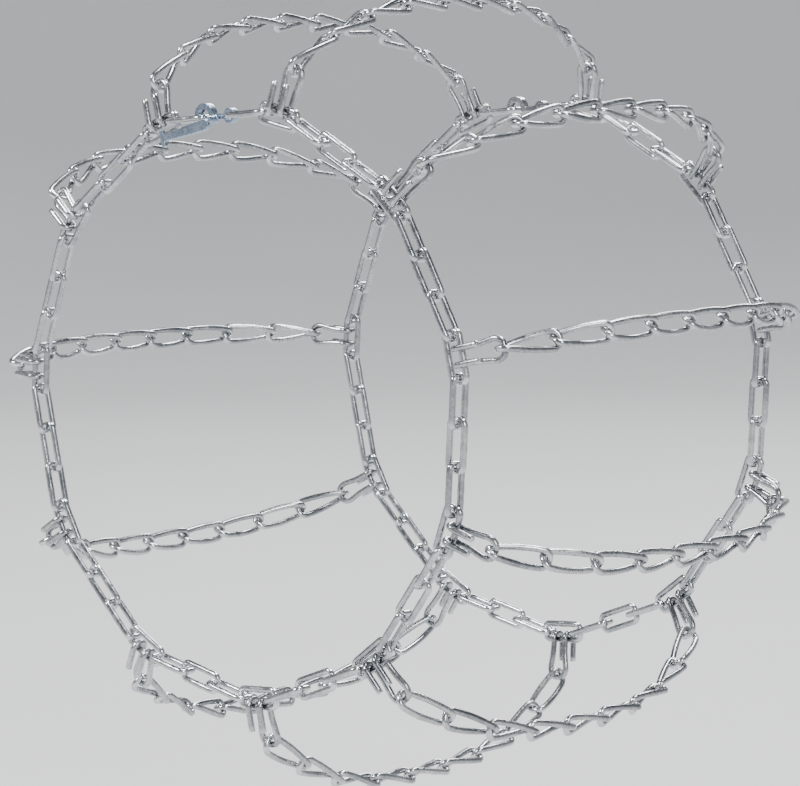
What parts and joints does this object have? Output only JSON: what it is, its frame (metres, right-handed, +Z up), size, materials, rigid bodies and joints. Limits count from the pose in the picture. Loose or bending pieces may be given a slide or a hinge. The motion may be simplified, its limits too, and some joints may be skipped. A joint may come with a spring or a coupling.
{
  "type": "tire snow chain",
  "caption": "Ladder-type tire snow chain laid round its wheel: two side chains joined by twisted cross chains on double hooks, closed by a lever fastener outside and a plain hook inside.",
  "frame": {"origin": "centre of the wheel that the chain is laid round, on its axle, midway between the two side chains", "axes": "+Y along the axle towards the vehicle, so the outer side chain and its lever are at -Y; +Z up; +X towards rung 2"},
  "size_m": [0.5141, 0.3204, 0.515],
  "materials": {
    "side_chain_zinc": "bright zinc plate on welded straight-link chain, even silver with a faint blue cast",
    "cross_chain_zinc": "bright zinc plate on twisted case-hardened links, slightly greyer in the bends",
    "hook_zinc": "bright zinc plate on bent wire, with sheared tips",
    "lever_zinc": "blue-white zinc plate on a stamped and curled lever"
  },
  "bodies": {
    "rung_05": {"outer_link_05": "side_chain_zinc", "inner_link_05": "side_chain_zinc", "cross_chain_05": "cross_chain_zinc", "outer_hook_05": "hook_zinc", "inner_hook_05": "hook_zinc"},
    "bay_04": {"outer_side_chain_04": "side_chain_zinc", "inner_side_chain_04": "side_chain_zinc", "cross_chain_04": "cross_chain_zinc", "outer_hook_04": "hook_zinc", "inner_hook_04": "hook_zinc"},
    "bay_03": {"outer_side_chain_03": "side_chain_zinc", "inner_side_chain_03": "side_chain_zinc", "cross_chain_03": "cross_chain_zinc", "outer_hook_03": "hook_zinc", "inner_hook_03": "hook_zinc"},
    "bay_02": {"outer_side_chain_02": "side_chain_zinc", "inner_side_chain_02": "side_chain_zinc", "cross_chain_02": "cross_chain_zinc", "outer_hook_02": "hook_zinc", "inner_hook_02": "hook_zinc"},
    "bay_01": {"outer_side_chain_01": "side_chain_zinc", "inner_side_chain_01": "side_chain_zinc", "cross_chain_01": "cross_chain_zinc", "outer_hook_01": "hook_zinc", "inner_hook_01": "hook_zinc"},
    "bay_11": {"outer_side_chain_11": "side_chain_zinc", "inner_side_chain_11": "side_chain_zinc", "cross_chain_11": "cross_chain_zinc", "outer_hook_11": "hook_zinc", "inner_hook_11": "hook_zinc"},
    "bay_06": {"outer_side_chain_06": "side_chain_zinc", "inner_side_chain_06": "side_chain_zinc", "cross_chain_06": "cross_chain_zinc", "outer_hook_06": "hook_zinc", "inner_hook_06": "hook_zinc"},
    "bay_07": {"outer_side_chain_07": "side_chain_zinc", "inner_side_chain_07": "side_chain_zinc", "cross_chain_07": "cross_chain_zinc", "outer_hook_07": "hook_zinc", "inner_hook_07": "hook_zinc"},
    "bay_08": {"outer_side_chain_08": "side_chain_zinc", "inner_side_chain_08": "side_chain_zinc", "cross_chain_08": "cross_chain_zinc", "outer_hook_08": "hook_zinc", "inner_hook_08": "hook_zinc"},
    "bay_09": {"outer_side_chain_09": "side_chain_zinc", "inner_side_chain_09": "side_chain_zinc", "cross_chain_09": "cross_chain_zinc", "outer_hook_09": "hook_zinc", "inner_hook_09": "hook_zinc"},
    "bay_10": {"outer_side_chain_10": "side_chain_zinc", "inner_side_chain_10": "side_chain_zinc", "cross_chain_10": "cross_chain_zinc", "outer_hook_10": "hook_zinc", "inner_hook_10": "hook_zinc"},
    "outer_lever": {"outer_fastener_lever": "lever_zinc"},
    "inner_catch": {"inner_fastener_hook": "side_chain_zinc"}
  },
  "joints": [
    {"name": "right_unroll", "type": "hinge", "parent": "rung_05", "child": "bay_04", "pos_m": [0.02821, 0, -0.18098], "axis": [0, 1, 0], "range_deg": [0, 32.7]},
    {"name": "right_unroll_03", "type": "hinge", "parent": "bay_04", "child": "bay_03", "pos_m": [0.12158, 0, -0.137], "axis": [0, 1, 0], "range_deg": [0, 32.7]},
    {"name": "right_unroll_02", "type": "hinge", "parent": "bay_03", "child": "bay_02", "pos_m": [0.17635, 0, -0.04952], "axis": [0, 1, 0], "range_deg": [0, 32.7]},
    {"name": "right_unroll_01", "type": "hinge", "parent": "bay_02", "child": "bay_01", "pos_m": [0.17512, 0, 0.05368], "axis": [0, 1, 0], "range_deg": [0, 32.7]},
    {"name": "right_unroll_11", "type": "hinge", "parent": "bay_01", "child": "bay_11", "pos_m": [0.1183, 0, 0.13984], "axis": [0, 1, 0], "range_deg": [0, 32.7]},
    {"name": "left_unroll", "type": "hinge", "parent": "rung_05", "child": "bay_06", "pos_m": [0.00231, 0, -0.18315], "axis": [0, -1, 0], "range_deg": [0, 32.7]},
    {"name": "left_unroll_07", "type": "hinge", "parent": "bay_06", "child": "bay_07", "pos_m": [-0.09708, 0, -0.15532], "axis": [0, -1, 0], "range_deg": [0, 32.7]},
    {"name": "left_unroll_08", "type": "hinge", "parent": "bay_07", "child": "bay_08", "pos_m": [-0.16564, 0, -0.07818], "axis": [0, -1, 0], "range_deg": [0, 32.7]},
    {"name": "left_unroll_09", "type": "hinge", "parent": "bay_08", "child": "bay_09", "pos_m": [-0.18161, 0, 0.02378], "axis": [0, -1, 0], "range_deg": [0, 32.7]},
    {"name": "left_unroll_10", "type": "hinge", "parent": "bay_09", "child": "bay_10", "pos_m": [-0.13992, 0, 0.1182], "axis": [0, -1, 0], "range_deg": [0, 32.7]},
    {"name": "outer_lever_turn", "type": "hinge", "parent": "bay_11", "child": "outer_lever", "pos_m": [-0.00424, -0.15075, 0.17924], "axis": [0, 1, 0], "range_deg": [0, 110]},
    {"name": "inner_hook_turn", "type": "hinge", "parent": "bay_11", "child": "inner_catch", "pos_m": [-0.00424, 0.15075, 0.17924], "axis": [0, 1, 0], "range_deg": [0, 90]}
  ],
  "couplings": [
    {"joint": "right_unroll_03", "follows": "right_unroll", "ratio": 1},
    {"joint": "right_unroll_02", "follows": "right_unroll", "ratio": 1},
    {"joint": "right_unroll_01", "follows": "right_unroll", "ratio": 1},
    {"joint": "right_unroll_11", "follows": "right_unroll", "ratio": 1},
    {"joint": "left_unroll_07", "follows": "left_unroll", "ratio": 1},
    {"joint": "left_unroll_08", "follows": "left_unroll", "ratio": 1},
    {"joint": "left_unroll_09", "follows": "left_unroll", "ratio": 1},
    {"joint": "left_unroll_10", "follows": "left_unroll", "ratio": 1}
  ]
}
